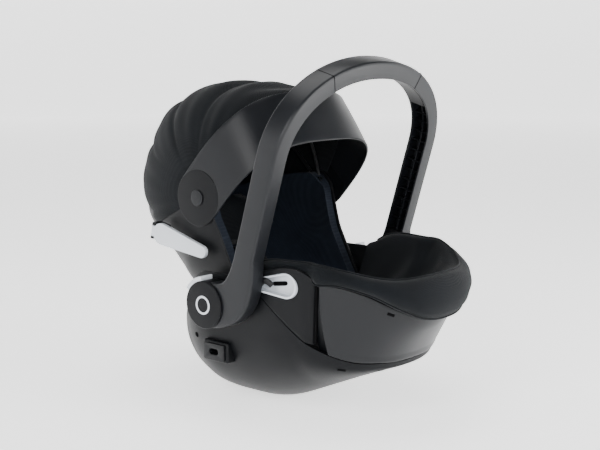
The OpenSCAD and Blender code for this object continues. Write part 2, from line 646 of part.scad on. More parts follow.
rib_count = 6;
module handle_frame() color(charcoal) difference() {
    union() {
        stack([for (i = [0 : len(handle_path) - 1]) section_at(i, channel)]);
        for (side = [-1, 1]) on_side(side) {
            along_x(hub_inner, arm_outer) hook_outline();
            rod_x(hub_r, hub_inner, hub_outer, pivot_y, pivot_z);
            for (k = [1 : rib_count]) let (z = mix(arm_start[1], arch_z, k / (rib_count + 0.5)))
                translate([arm_x + 1, arm_y(z), z]) rotate([atan(-arm_slope), 0, 0])
                    cube([arm_thick - 7, arm_depth - 4, 2.5], center = true);
        }
    }
    for (side = [-1, 1]) on_side(side) {
        rod_x(axle_r + axle_clear, hub_inner - 1, hub_outer - 3.5, pivot_y, pivot_z);
        button_ring(hub_r - 5, hub_r + 12, button_from - 4, button_span + 8, hub_inner + 3, hub_outer + 1);
    }
}

grip_skip = 7;
cover_plate = [[-ht, hd - flange - 0.3], [-ht + 5, hd - flange - 0.3], [-ht + 5, -hd + flange + 0.3],
    [-ht, -hd + flange + 0.3]];
module grip_cover() color(black)
    stack([for (i = [arm_steps + grip_skip : len(handle_path) - 1 - arm_steps - grip_skip])
        section_at(i, cover_plate)]);

module hub_ring(side) color(silver) on_side(side) difference() {
    rod_x(15, hub_outer + 0.05, hub_outer + 1, pivot_y, pivot_z);
    rod_x(11.5, hub_outer - 1, hub_outer + 2, pivot_y, pivot_z);
}

module handle_button(side) color(silver) on_side(side)
    button_ring(hub_r - 1, hub_r + 7, button_from, button_span, hub_inner + 4, hub_outer - 2);

// ---------------------------------------------------------------- nodes

lower_shell();
foam_liner();
side_panel(-1);  // side_panel_left
side_panel(1);  // side_panel_right
belt_guide(-1);  // belt_guide_left
belt_guide(1);  // belt_guide_right
belt_hook(-1);  // belt_hook_left
belt_hook(1);  // belt_hook_right
hub_mount(-1);  // hub_mount_left
hub_mount(1);  // hub_mount_right
adapter_socket(-1);  // adapter_socket_left
adapter_socket(1);  // adapter_socket_right
latch_bars();
rubber_feet();
shell_screws();
rail_guides();
seat_cushion();
crotch_strap();
crotch_pad();
buckle();
buckle_button();
strap_tongues();
adjuster_housing();
adjuster_button();
leg_rest_shell();
leg_rest_rails();
leg_rest_cushion();
foot_cover();
back_shell();
back_cushion();
hood_pin(-1);  // hood_pin_left
hood_pin(1);  // hood_pin_right
hood_fabric();
shoulder_straps();
shoulder_pads();
recline_handle();
wing_bracket(-1);  // wing_bracket_left
wing_bracket(1);  // wing_bracket_right
wing_pin(-1);  // wing_pin_left
wing_pin(1);  // wing_pin_right
headrest_shell();
headrest_cushion();
visor();
bow(147, 142, 78);  // hood_bow_front
bow(141, 172, 48);  // hood_bow_rear
impact_wing(-1);  // impact_wing_left
impact_wing(1);  // impact_wing_right
handle_frame();
grip_cover();
hub_ring(-1);  // hub_ring_left
hub_ring(1);  // hub_ring_right
handle_button(-1);  // handle_button_left
handle_button(1);  // handle_button_right
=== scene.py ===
import json
import math

import bmesh
import bpy
import mathutils
import numpy as np
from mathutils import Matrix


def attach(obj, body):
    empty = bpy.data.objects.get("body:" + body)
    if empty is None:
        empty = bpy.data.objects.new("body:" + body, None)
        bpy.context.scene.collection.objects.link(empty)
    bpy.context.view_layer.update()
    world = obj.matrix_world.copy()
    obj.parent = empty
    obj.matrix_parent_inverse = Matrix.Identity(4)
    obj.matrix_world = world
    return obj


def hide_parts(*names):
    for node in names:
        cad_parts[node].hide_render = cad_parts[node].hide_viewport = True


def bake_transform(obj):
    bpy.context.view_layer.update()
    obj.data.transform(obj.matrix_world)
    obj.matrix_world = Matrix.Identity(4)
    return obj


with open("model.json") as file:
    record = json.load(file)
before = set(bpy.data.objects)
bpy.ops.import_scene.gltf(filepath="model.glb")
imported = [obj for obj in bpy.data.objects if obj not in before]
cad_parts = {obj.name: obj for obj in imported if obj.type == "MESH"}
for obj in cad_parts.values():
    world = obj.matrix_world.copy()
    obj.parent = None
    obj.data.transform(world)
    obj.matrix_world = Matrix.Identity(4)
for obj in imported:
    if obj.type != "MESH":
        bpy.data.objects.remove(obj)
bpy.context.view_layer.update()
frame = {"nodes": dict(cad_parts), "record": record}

rng = np.random.default_rng(7)

# ------------------------------------------------------------------ shared formulas, in millimetres


def ramp(v):
    t = np.clip(v, 0.0, 1.0)
    return t * t * (3 - 2 * t)


def mix(a, b, t):
    return a + (b - a) * t


def spow(v, p):
    return np.sign(v) * np.abs(v) ** p


def curve(pairs, s, soft=0.0):
    """Value at s of a line through (s, value) pairs, rounded over the distance soft."""
    xs = np.array([p[0] for p in pairs], float)
    ys = np.array([p[1] for p in pairs], float)
    s = np.asarray(s, float)
    if soft <= 0:
        return np.interp(s, xs, ys)
    return np.mean([np.interp(s + d, xs, ys) for d in np.linspace(-soft, soft, 9)], axis=0)


BOW, STERN, PLAN = -60.0, 40.0, 2.2
SHELL_HALF, SHELL_TOE, SHELL_HEEL = 169.0, 229.0, 200.0
LEG_HALF, LEG_TOE = 182.0, 272.0
PIVOT = np.array([17.0, 180.0])
HOOD = np.array([77.0, 339.0])
LEAN = math.radians(41)
RIM = [(-230, 92), (-224, 95), (-201, 100), (-182, 108), (-158, 121), (-135, 134), (-57, 209), (-40, 226)]
LEG_RIM = [(-273, 166), (-269, 176), (-258, 187), (-250, 195), (-232, 211), (-211, 221),
           (-186, 228), (-160, 226)]
SHELL_WALL = 4.0
PANEL_TOP = [(-163, 231), (-155, 241), (-140, 249), (-116, 251), (-81, 243), (-48, 229)]
BACK_RIM = [(-30, 16), (0, 26), (60, 50), (110, 76), (135, 94), (165, 94), (195, 62),
            (225, 20), (260, -34), (296, -66)]


def keel_z(y):
    def rise(t, slope, blend):
        return np.where(t <= 0, 0, np.where(t < blend, slope * t * t / (2 * blend), slope * (t - blend / 2)))
    return 2 + rise(10 - y, 0.44, 80) + rise(y - 85, 0.5, 40)


def rim_z(y):
    y = np.asarray(y, float)
    return np.where(y < -40, curve(RIM, y, 5), mix(226, 120, ramp((y - 45) / 125)))


def outline(half, toe, heel, n=48, toe_power=PLAN, heel_power=2.0):
    a = np.linspace(math.pi, 2 * math.pi, n + 1)
    b = np.linspace(0, math.pi, n + 1)
    side = np.arange(1, 8) / 8
    front = np.stack([half * spow(np.cos(a), 2 / toe_power),
                      BOW + (toe + BOW) * spow(np.sin(a), 2 / toe_power)], 1)
    rear = np.stack([half * spow(np.cos(b), 2 / heel_power),
                     STERN + (heel - STERN) * spow(np.sin(b), 2 / heel_power)], 1)
    right = np.stack([np.full(7, half), mix(BOW, STERN, side)], 1)
    left = np.stack([np.full(7, -half), mix(STERN, BOW, side)], 1)
    return np.concatenate([front, right, rear, left])


def shell_ring(drop, h, v, extra, lift=0.0):
    low = outline(48 - drop, 212 - drop, 150 - drop)
    top = outline(SHELL_HALF - drop, SHELL_TOE - drop, SHELL_HEEL - drop)
    z0 = keel_z(low[:, 1]) + drop
    z2 = rim_z(top[:, 1])
    z1 = np.minimum(140, z2 - 6)
    xy = mix(low, top, h)
    z = mix(mix(z0, z1, v), z2, extra)
    grow = 1 + 0.13 * np.maximum(0, z - 140) / SHELL_HALF
    return np.stack([xy[:, 0] * grow, xy[:, 1], z + lift], 1)


def half_at(half, toe, y):
    t = np.clip((BOW - np.asarray(y, float)) / (toe + BOW), 0, 1)
    return half * (1 - t ** PLAN) ** (1 / PLAN)


def flank_x(y, z):
    z0 = rim_z(y)
    grow = 1 + 0.13 * np.maximum(0, z0 - 140) / SHELL_HALF
    return mix(half_at(SHELL_HALF, SHELL_TOE, y) * grow, half_at(LEG_HALF, LEG_TOE, y), (z - z0) / (233 - z0))


def leg_rim_z(y):
    return curve(LEG_RIM, y, 8)


def back_yz(s, n):
    y = PIVOT[0] + s * math.cos(LEAN) - n * math.sin(LEAN)
    z = PIVOT[1] + s * math.sin(LEAN) + n * math.cos(LEAN)
    return y, z


def back_width(s):
    return mix(152, 160, ramp((s - 62) / 62)) * (1 - (np.maximum(0, s - 110) / 195) ** 2.3) ** (1 / 2.3)


def back_depth(s):
    return 112 - 14 * ramp((s - 215) / 80)


# ------------------------------------------------------------------ mesh helpers


def add_object(name, verts, faces, smooth=40):
    mesh = bpy.data.meshes.new(name)
    mesh.from_pydata([tuple(map(float, v)) for v in np.asarray(verts) / 1000.0], [], faces)
    mesh.validate()
    obj = bpy.data.objects.new(name, mesh)
    bpy.context.scene.collection.objects.link(obj)
    bm = bmesh.new()
    bm.from_mesh(mesh)
    bmesh.ops.remove_doubles(bm, verts=bm.verts, dist=2e-6)
    bmesh.ops.recalc_face_normals(bm, faces=bm.faces)
    bm.to_mesh(mesh)
    bm.free()
    shade(obj, smooth)
    return obj


def shade(obj, angle):
    mesh = obj.data
    mesh.polygons.foreach_set("use_smooth", [True] * len(mesh.polygons))
    mesh.set_sharp_from_angle(angle=math.radians(angle))
    mesh.update()


def bake(obj, smooth=None):
    """Applies the modifiers of obj."""
    deps = bpy.context.evaluated_depsgraph_get()
    mesh = bpy.data.meshes.new_from_object(obj.evaluated_get(deps))
    obj.modifiers.clear()
    obj.data = mesh
    if smooth:
        shade(obj, smooth)
    return obj


def grid_faces(rows, cols, wrap=False, first=0):
    out = []
    for r in range(rows - 1):
        for c in range(cols if wrap else cols - 1):
            d = (c + 1) % cols
            near, far = first + r * cols, first + (r + 1) * cols
            out.append((near + c, near + d, far + d, far + c))
    return out


def surface(name, grid, wrap=False, smooth=40):
    grid = np.asarray(grid, float)
    r, c = grid.shape[:2]
    return add_object(name, grid.reshape(-1, 3), grid_faces(r, c, wrap), smooth)


def thicken(obj, thick, inward=True, bevel=0.0, segments=2, smooth=40):
    """Gives a surface a thickness in millimetres, on the side away from its normals."""
    m = obj.modifiers.new("wall", "SOLIDIFY")
    m.thickness = thick / 1000
    m.offset = -1 if inward else 1
    m.use_even_offset = False
    if bevel:
        round_edges(obj, bevel, segments, keep=True)
    return bake(obj, smooth)


def round_edges(obj, width, segments=3, angle=40, keep=False, smooth=40):
    b = obj.modifiers.new("edges", "BEVEL")
    b.width = width / 1000
    b.segments = segments
    b.limit_method = "ANGLE"
    b.angle_limit = math.radians(angle)
    b.use_clamp_overlap = True
    return obj if keep else bake(obj, smooth)


def wall(name, outer, inner, wrap=False, bevel=0.0, smooth=40):
    """A closed wall between two grids of the same size."""
    outer, inner = np.asarray(outer, float), np.asarray(inner, float)
    r, c = outer.shape[:2]
    n = r * c
    faces = grid_faces(r, c, wrap) + [f[::-1] for f in grid_faces(r, c, wrap, n)]
    for k in range(c if wrap else c - 1):
        d = (k + 1) % c
        faces.append((k, n + k, n + d, d))
        faces.append(((r - 1) * c + d, n + (r - 1) * c + d, n + (r - 1) * c + k, (r - 1) * c + k))
    if not wrap:
        for k in range(r - 1):
            faces.append((k * c, (k + 1) * c, n + (k + 1) * c, n + k * c))
            faces.append((k * c + c - 1, n + k * c + c - 1, n + (k + 1) * c + c - 1, (k + 1) * c + c - 1))
    obj = add_object(name, np.concatenate([outer.reshape(-1, 3), inner.reshape(-1, 3)]), faces, smooth)
    return round_edges(obj, bevel) if bevel else obj


def sweep(name, path, section, frames, closed_section=True, caps=True, smooth=35):
    """Sweeps a section of (a, b) pairs along path with frames of (axis a, axis b)."""
    path = np.asarray(path, float)
    sec = np.asarray(section, float)
    verts = np.concatenate([p + sec[:, :1] * fa + sec[:, 1:] * fb for p, (fa, fb) in zip(path, frames)])
    n = len(sec)
    faces = grid_faces(len(path), n, closed_section)
    if caps and closed_section:
        faces += [tuple(range(n))[::-1], tuple(range((len(path) - 1) * n, len(path) * n))]
    return add_object(name, verts, faces, smooth)


def tube(name, path, radius, sides=10, squash=1.0, normal=None):
    """A round or flattened strand along a path."""
    path = np.asarray(path, float)
    path = path[np.r_[True, np.linalg.norm(np.diff(path, axis=0), axis=1) > 0.01]]
    t = np.gradient(path, axis=0)
    t /= np.linalg.norm(t, axis=1)[:, None]
    frames = []
    up = np.array([0.0, 0.0, 1.0]) if normal is None else np.asarray(normal, float)
    for k, d in enumerate(t):
        ref = up if up.ndim == 1 else up[k]
        a = np.cross(d, ref)
        if np.linalg.norm(a) < 1e-3:
            a = np.cross(d, [0.3, 0.9, 0.1])
        a /= np.linalg.norm(a)
        frames.append((a, np.cross(a, d)))
    ang = np.linspace(0, 2 * math.pi, sides, endpoint=False)
    sec = np.stack([radius * np.cos(ang), radius * squash * np.sin(ang)], 1)
    return sweep(name, path, sec, frames, smooth=60)


def ribbon(name, path, width, thick, across=(1, 0, 0)):
    """A flat webbing strap along a path, with its rounded edges across the given direction."""
    path = np.asarray(path, float)
    t = np.gradient(path, axis=0)
    t /= np.linalg.norm(t, axis=1)[:, None]
    side = np.asarray(across, float)
    frames = []
    for d in t:
        a = side - d * np.dot(side, d)
        a /= np.linalg.norm(a)
        frames.append((a, np.cross(a, d)))
    w, h = width / 2, thick / 2
    flat = [(x, -h) for x in np.linspace(-w * 0.8, w * 0.8, 7)]
    sec = [(-w, -h * 0.5), (-w + h, -h)] + flat + [(w - h, -h), (w, -h * 0.5)]
    sec = sec + [(x, -z) for x, z in sec[::-1]]
    return sweep(name, path, sec, frames, smooth=50)


def spline(points, n=60):
    """A smooth curve through a few points."""
    pts = np.asarray(points, float)
    ext = np.concatenate([[2 * pts[0] - pts[1]], pts, [2 * pts[-1] - pts[-2]]])
    u = np.linspace(0, len(pts) - 1 - 1e-9, n)
    k = u.astype(int)
    f = (u - k)[:, None]
    a, b, c, d = ext[k], ext[k + 1], ext[k + 2], ext[k + 3]
    square, cube = 2 * a - 5 * b + 4 * c - d, 3 * b - a - 3 * c + d
    return 0.5 * (2 * b + (c - a) * f + square * f ** 2 + cube * f ** 3)


def prism(name, outline_yz, x0, x1, bevel=1.0, segments=3, smooth=35):
    """An outline in (y, z) extruded from x0 to x1 with rounded edges."""
    o = np.asarray(outline_yz, float)
    n = len(o)
    a = np.column_stack([np.full(n, x0), o])
    b = np.column_stack([np.full(n, x1), o])
    faces = [tuple(range(n)), tuple(range(n, 2 * n))[::-1]]
    faces += [(k, k + n, (k + 1) % n + n, (k + 1) % n) for k in range(n)]
    obj = add_object(name, np.concatenate([a, b]), faces, smooth)
    return round_edges(obj, bevel, segments, smooth=smooth) if bevel else obj


def disc(name, x0, x1, y, z, r, bevel=1.0, sides=72):
    a = np.linspace(0, 2 * math.pi, sides, endpoint=False)
    return prism(name, np.stack([y + r * np.cos(a), z + r * np.sin(a)], 1), x0, x1, bevel, smooth=35)


def cut(obj, *cutters):
    for c in cutters:
        m = obj.modifiers.new("cut", "BOOLEAN")
        m.operation = "DIFFERENCE"
        m.solver = "EXACT"
        m.object = c
        bake(obj, 40)
        bpy.data.objects.remove(c)
    return obj


def block(name, lo, hi, bevel=0.0):
    (x0, y0, z0), (x1, y1, z1) = lo, hi
    return prism(name, [(y0, z0), (y1, z0), (y1, z1), (y0, z1)], x0, x1, bevel)


def mirrored(obj, name):
    """The mirror image of obj across the seat."""
    other = obj.copy()
    other.data = obj.data.copy()
    other.name = name
    bpy.context.scene.collection.objects.link(other)
    co = np.empty(len(other.data.vertices) * 3)
    other.data.vertices.foreach_get("co", co)
    co[0::3] *= -1
    other.data.vertices.foreach_set("co", co)
    other.data.flip_normals()
    other.data.update()
    return other


def finish_piece(obj, mat, body, slot, *nodes):
    obj.data.materials.clear()
    obj.data.materials.append(mat)
    if body is not None:
        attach(obj, body)
    if nodes:
        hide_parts(*nodes)
    return obj


def refined(node, mat, bevel=0.6, angle=38, name=None):
    """A copy of a CAD node with merged corners, rounded edges and smooth curves."""
    src = frame["nodes"][node]
    obj = src.copy()
    obj.data = src.data.copy()
    obj.name = name or node + ".finish"
    obj.animation_data_clear()
    for c in list(obj.users_collection):
        c.objects.unlink(obj)
    bpy.context.scene.collection.objects.link(obj)
    matrix = src.matrix_world.copy()
    obj.parent = None
    obj.data.transform(matrix)
    obj.matrix_world.identity()
    for key in list(obj.keys()):
        if key.startswith("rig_"):
            del obj[key]
    bm = bmesh.new()
    bm.from_mesh(obj.data)
    bmesh.ops.remove_doubles(bm, verts=bm.verts, dist=1e-5)
    bmesh.ops.dissolve_limit(bm, angle_limit=math.radians(1.0), verts=bm.verts, edges=bm.edges)
    bm.to_mesh(obj.data)
    bm.free()
    obj.modifiers.clear()
    if bevel:
        round_edges(obj, bevel, 2, angle, smooth=angle)
    else:
        shade(obj, angle)
    return obj


# ------------------------------------------------------------------ materials


def new_material(name):
    mat = bpy.data.materials.new(name)
    mat.use_nodes = True
    nodes, links = mat.node_tree.nodes, mat.node_tree.links
    return mat, nodes, links, nodes["Principled BSDF"]


def plastic(name, color, rough, grain=0.12, scale=1400.0, spec=0.5, coat=0.0):
    mat, nodes, links, p = new_material(name)
    p.inputs["Base Color"].default_value = (*color, 1)
    p.inputs["Specular IOR Level"].default_value = spec
    p.inputs["Coat Weight"].default_value = coat
    p.inputs["Coat Roughness"].default_value = 0.25
    coord = nodes.new("ShaderNodeTexCoord")
    cloud = nodes.new("ShaderNodeTexNoise")
    cloud.inputs["Scale"].default_value = 14
    cloud.inputs["Detail"].default_value = 6
    span = nodes.new("ShaderNodeMapRange")
    span.inputs["To Min"].default_value = rough - 0.05
    span.inputs["To Max"].default_value = rough + 0.07
    fine = nodes.new("ShaderNodeTexVoronoi")
    fine.inputs["Scale"].default_value = scale
    bump = nodes.new("ShaderNodeBump")
    bump.inputs["Strength"].default_value = grain
    bump.inputs["Distance"].default_value = 0.0004
    links.new(coord.outputs["Object"], cloud.inputs["Vector"])
    links.new(coord.outputs["Object"], fine.inputs["Vector"])
    links.new(cloud.outputs["Fac"], span.inputs["Value"])
    links.new(span.outputs["Result"], p.inputs["Roughness"])
    links.new(fine.outputs["Distance"], bump.inputs["Height"])
    links.new(bump.outputs["Normal"], p.inputs["Normal"])
    return mat


def cloth(name, color, light, rough=0.9, period=1.3, strength=0.35, sheen=0.06):
    """A woven cloth: two crossing sets of threads and slow cloudy shade."""
    mat, nodes, links, p = new_material(name)
    p.inputs["Roughness"].default_value = rough
    p.inputs["Specular IOR Level"].default_value = 0.10
    p.inputs["Sheen Weight"].default_value = sheen
    p.inputs["Sheen Roughness"].default_value = 0.5
    coord = nodes.new("ShaderNodeTexCoord")
    heights = []
    for k, turn in enumerate(((0, 0, 0), (math.radians(45), 0, math.radians(90)))):
        place = nodes.new("ShaderNodeMapping")
        place.inputs["Rotation"].default_value = turn
        wave = nodes.new("ShaderNodeTexWave")
        wave.bands_direction = "X"
        wave.inputs["Scale"].default_value = 314.0 / period
        wave.inputs["Distortion"].default_value = 1.2
        wave.inputs["Detail"].default_value = 1
        links.new(coord.outputs["Object"], place.inputs["Vector"])
        links.new(place.outputs["Vector"], wave.inputs["Vector"])
        heights.append(wave.outputs["Fac"])
    weave = nodes.new("ShaderNodeMath")
    weave.operation = "MULTIPLY"
    links.new(heights[0], weave.inputs[0])
    links.new(heights[1], weave.inputs[1])
    cloud = nodes.new("ShaderNodeTexNoise")
    cloud.inputs["Scale"].default_value = 22
    cloud.inputs["Detail"].default_value = 8
    links.new(coord.outputs["Object"], cloud.inputs["Vector"])
    total = nodes.new("ShaderNodeMath")
    total.operation = "MULTIPLY_ADD"
    total.inputs[1].default_value = 0.5
    links.new(weave.outputs[0], total.inputs[0])
    links.new(cloud.outputs["Fac"], total.inputs[2])
    tint = nodes.new("ShaderNodeMix")
    tint.data_type = "RGBA"
    tint.inputs["A"].default_value = (*color, 1)
    tint.inputs["B"].default_value = (*light, 1)
    links.new(total.outputs[0], tint.inputs["Factor"])
    links.new(tint.outputs["Result"], p.inputs["Base Color"])
    bump = nodes.new("ShaderNodeBump")
    bump.inputs["Strength"].default_value = strength
    bump.inputs["Distance"].default_value = 0.0005
    links.new(weave.outputs[0], bump.inputs["Height"])
    links.new(bump.outputs["Normal"], p.inputs["Normal"])
    return mat


def metal(name, color, rough):
    mat, nodes, links, p = new_material(name)
    p.inputs["Base Color"].default_value = (*color, 1)
    p.inputs["Metallic"].default_value = 1
    coord = nodes.new("ShaderNodeTexCoord")
    brush = nodes.new("ShaderNodeTexNoise")
    brush.inputs["Scale"].default_value = 300
    place = nodes.new("ShaderNodeMapping")
    place.inputs["Scale"].default_value = (0.05, 1, 1)
    span = nodes.new("ShaderNodeMapRange")
    span.inputs["To Min"].default_value = rough - 0.08
    span.inputs["To Max"].default_value = rough + 0.12
    links.new(coord.outputs["Object"], place.inputs["Vector"])
    links.new(place.outputs["Vector"], brush.inputs["Vector"])
    links.new(brush.outputs["Fac"], span.inputs["Value"])
    links.new(span.outputs["Result"], p.inputs["Roughness"])
    return mat


CHARCOAL = plastic("charcoal_plastic", (0.0028, 0.0032, 0.0041), 0.42, spec=0.14)
CHARCOAL_SATIN = plastic("charcoal_satin", (0.0046, 0.0053, 0.0068), 0.34, grain=0.06, spec=0.22)
HANDLE = plastic("handle_plastic", (0.0060, 0.0068, 0.0085), 0.36, grain=0.06, spec=0.27)
LEG = plastic("leg_rest_plastic", (0.0045, 0.0052, 0.0066), 0.32, grain=0.05, spec=0.26)
BLACK = plastic("black_plastic", (0.004, 0.0045, 0.0055), 0.40, spec=0.25)
# painted shade: a near-black material for thin pieces that stand in for the shade inside slots, holes,
# grooves and seams
PAINTED_SHADE = plastic("shadow_gap", (0.0015, 0.0015, 0.0018), 0.8, grain=0.0, spec=0.05)
SILVER = plastic("silver_plastic", (0.55, 0.58, 0.62), 0.36, grain=0.05, coat=0.2)
RED = plastic("red_plastic", (0.42, 0.015, 0.012), 0.35, grain=0.03, coat=0.2)
RUBBER = plastic("rubber", (0.018, 0.018, 0.018), 0.85)
FOAM = plastic("foam", (0.05, 0.05, 0.055), 0.9, grain=0.9, scale=220)
STEEL = metal("steel", (0.55, 0.56, 0.58), 0.32)
FABRIC = cloth("black_fabric", (0.0012, 0.0017, 0.0024), (0.0045, 0.0058, 0.0074))
FABRIC_IN = cloth("liner_fabric", (0.0040, 0.0060, 0.0105), (0.0090, 0.0130, 0.0210),
                  period=2.2, strength=0.5)
WEBBING = cloth("webbing", (0.007, 0.008, 0.0095), (0.018, 0.020, 0.024), period=2.6, strength=0.8)

NODE_MATERIAL = {
    "charcoal_plastic": CHARCOAL, "black_plastic": BLACK, "silver_plastic": SILVER, "red_plastic": RED,
    "steel": STEEL, "black_fabric": FABRIC, "webbing": WEBBING, "foam": FOAM, "rubber": RUBBER,
}
for row in frame["record"]["subparts"]:
    node = frame["nodes"].get(row["node"])
    if node is not None:
        node.data.materials.clear()
        node.data.materials.append(NODE_MATERIAL[row["material_slot"]])

SIDES = ((-1, "left"), (1, "right"))

# ------------------------------------------------------------------ lower shell

rings = [shell_ring(0, math.sin(a) ** 1.12, 1 - math.cos(a), 0) for a in np.linspace(0, math.pi / 2, 22)]
rings += [shell_ring(0, 1, 1, e) for e in (0.2, 0.4, 0.6, 0.8, 0.93)]
rings += [shell_ring(0.6, 1, 1, 1, -0.4), shell_ring(2, 1, 1, 1), shell_ring(3.4, 1, 1, 1, -0.4)]
rings += [shell_ring(4, 1, 1, e) for e in (0.93, 0.6, 0.3)]
rings += [shell_ring(4, math.sin(a) ** 1.12, 1 - math.cos(a), 0) for a in np.linspace(math.pi / 2, 0, 14)]
count = len(rings[0])
verts = np.concatenate(rings)
faces = grid_faces(len(rings), count, True)
half_n = 48
for first in (0, (len(rings) - 1) * count):
    order = [(half_n // 2 + k) % count for k in range(count // 2 + 1)]
    mirror = [(half_n // 2 - k) % count for k in range(count // 2 + 1)]
    for k in range(count // 2):
        quad = [order[k], order[k + 1], mirror[k + 1], mirror[k]]
        quad = list(dict.fromkeys(quad))
        if len(quad) > 2:
            faces.append(tuple(first + q for q in (quad if first == 0 else quad[::-1])))
shell = add_object("lower_shell.skin", verts, faces, 45)
windows = [block("w%d" % k, (-38, y - 13, -5), (38, y + 13, 20)) for k, y in enumerate((-40, 100))]
shell = cut(shell, *windows)
finish_piece(shell, CHARCOAL, "carrier", "charcoal_plastic", "lower_shell")

for sx, side in SIDES:
    socket = block("adapter_block_" + side, (150, 6, 77), (173, 60, 111), 3.0)
    slot_cut = prism("slot", [(24, 89), (42, 89), (42, 99), (24, 99)], 160, 180, 0)
    socket = cut(socket, slot_cut)
    if sx < 0:
        other = mirrored(socket, "adapter_block_left_side")
        bpy.data.objects.remove(socket)
        socket = other
    finish_piece(socket, CHARCOAL, "carrier", "charcoal_plastic")

# ------------------------------------------------------------------ leg rest shell


def leg_line(half, toe, n=72, step=-171.0):
    long = toe + BOW
    first = math.asin(((BOW - step) / long) ** (PLAN / 2))
    a = np.linspace(math.pi - first, first, n)
    return np.stack([half * spow(np.cos(a), 2 / PLAN), BOW - long * spow(np.sin(a), 2 / PLAN)], 1)


def leg_grid(drop, rows=26):
    out = []
    for v in np.linspace(0, 1, rows):
        h = math.sin(v * math.pi / 2)
        line = leg_line(mix(SHELL_HALF + 3, LEG_HALF, h) - drop, mix(SHELL_TOE + 4, LEG_TOE, h) - drop)
        lip = 1.6 * math.exp(-((v - 0.02) / 0.03) ** 2) * (1 if drop == 0 else 0)
        z0 = rim_z(np.maximum(line[:, 1], -SHELL_TOE)) + 3
        grow = 1 + lip / 170
        out.append(np.column_stack([line[:, 0] * grow, line[:, 1] * grow, mix(z0, leg_rim_z(line[:, 1]), v)]))
    return np.array(out)


FLOOR_TOP = 151.5
outer, inner = leg_grid(0), leg_grid(SHELL_WALL)
leg = wall("leg_rest_shell.skin", outer, inner, bevel=1.1)
finish_piece(leg, LEG, "leg_rest", "charcoal_plastic", "leg_rest_shell")
tuck = []
for v in np.linspace(0, 1, 10):
    h = math.sin(v * math.pi / 2)
    line = leg_line(mix(SHELL_HALF + 3, LEG_HALF, h), mix(SHELL_TOE + 4, LEG_TOE, h))
    x = -line[0][0] - 7
    z = mix(float(rim_z(-171)) + 3, float(leg_rim_z(-171)), v)
    tuck.append([(x + 6.5, -172.5, z), (x + 1, -169, z), (x, -166, z), (x, -150, z)])
tuck = np.array(tuck)
tuck_r = wall("leg_rest_tuck_right", tuck, tuck - np.array([3.5, 0, 0]))
tuck_l = mirrored(tuck_r, "leg_rest_tuck_left")
for t in (tuck_l, tuck_r):
    finish_piece(t, CHARCOAL, "leg_rest", "charcoal_plastic")
plan = leg_line(SHELL_HALF + 1, LEG_TOE - 26)
near_half = plan[:len(plan) // 2 + 1]
floor_grid = np.array([[(p[0] * f, p[1], FLOOR_TOP) for p in near_half] for f in np.linspace(1, -1, 9)])
leg_floor = thicken(surface("leg_rest_floor", floor_grid), 3)
finish_piece(leg_floor, CHARCOAL, "leg_rest", "charcoal_plastic")

# ------------------------------------------------------------------ side panels, belt guides and hooks


def paddle(length, r0, r1, n=20):
    tilt = math.asin((r0 - r1) / length)
    a = np.linspace(math.pi / 2 - tilt, 1.5 * math.pi + tilt, n)
    b = np.linspace(tilt - math.pi / 2, math.pi / 2 - tilt, n)
    return np.concatenate([np.stack([r0 * np.cos(a), r0 * np.sin(a)], 1),
                           np.stack([length + r1 * np.cos(b), r1 * np.sin(b)], 1)])


def turned(pts, deg, shift=(0, 0)):
    c, s = math.cos(math.radians(deg)), math.sin(math.radians(deg))
    p = np.asarray(pts, float)
    return np.stack([p[:, 0] * c - p[:, 1] * s + shift[0], p[:, 0] * s + p[:, 1] * c + shift[1]], 1)


def guide_outline(grow):
    return turned(paddle(44, 12 + grow, 20 + grow), 176, (-17, 219))


def to_flank(obj):
    """Moves a piece drawn with the flank at x = 0 to the slanted flank on the right."""
    c, s = math.cos(math.radians(-5)), math.sin(math.radians(-5))
    co = np.empty(len(obj.data.vertices) * 3)
    obj.data.vertices.foreach_get("co", co)
    co = co.reshape(-1, 3)
    x, y = co[:, 0] * c - co[:, 1] * s + 0.182, co[:, 0] * s + co[:, 1] * c - 0.058
    co[:, 0], co[:, 1] = x, y
    obj.data.vertices.foreach_set("co", co.ravel())
    obj.data.update()
    return obj


cols, rows = 44, 14
outer, inner = [], []
for u in np.linspace(0, 1, cols):
    y0, y1 = mix(-57, -148, u), mix(-48, -163, u)
    z0, z1 = float(rim_z(y0)) + 1.5, float(curve(PANEL_TOP, y1, 8))
    k = np.linspace(0, 1, rows)
    y, z = mix(y0, y1, k), mix(z0, z1, k)
    roll = 7.0 * max(0.0, (u - 0.86) / 0.14) ** 2.2 + 2.5 * np.maximum(0, (k - 0.88) / 0.12) ** 2
    x = flank_x(y, z) - roll
    outer.append(np.stack([x, y, z], 1))
    inner.append(np.stack([x - 5.0, y, z], 1))
panel = wall("side_panel_right.skin", outer, inner, bevel=0.8)
hole = to_flank(prism("hole", guide_outline(0.4), -22, 12, 0))
panel = cut(panel, hole)
guide = to_flank(prism("belt_guide_right.skin", guide_outline(0), -15, -0.2, 1.2))
pocket = to_flank(prism("pocket", guide_outline(-3.2), -12.5, 4, 0))
guide = cut(guide, pocket)
shade(guide, 30)
arch = []
for k in np.linspace(0, 1, 16):
    arch.append((mix(-14, -36, k), 221 + 9 * math.sin(k * 2.6) - 6 * k, -1.5 + 3.2 * math.sin(k * math.pi)))
hook_path = np.array([(x, y, z) for y, z, x in arch])
hook = to_flank(tube("belt_hook_right.skin", hook_path, 5.2, 14, squash=0.55, normal=(1, 0, 0)))
# painted shade: a thin near-black plate in the belt guide pocket stands in for the shade inside its slot
shade_in_slot = to_flank(prism("belt_slot_right", turned(paddle(20, 3.4, 3.4), 172, (-34, 221)), -12.4, -10.5, 0.4))
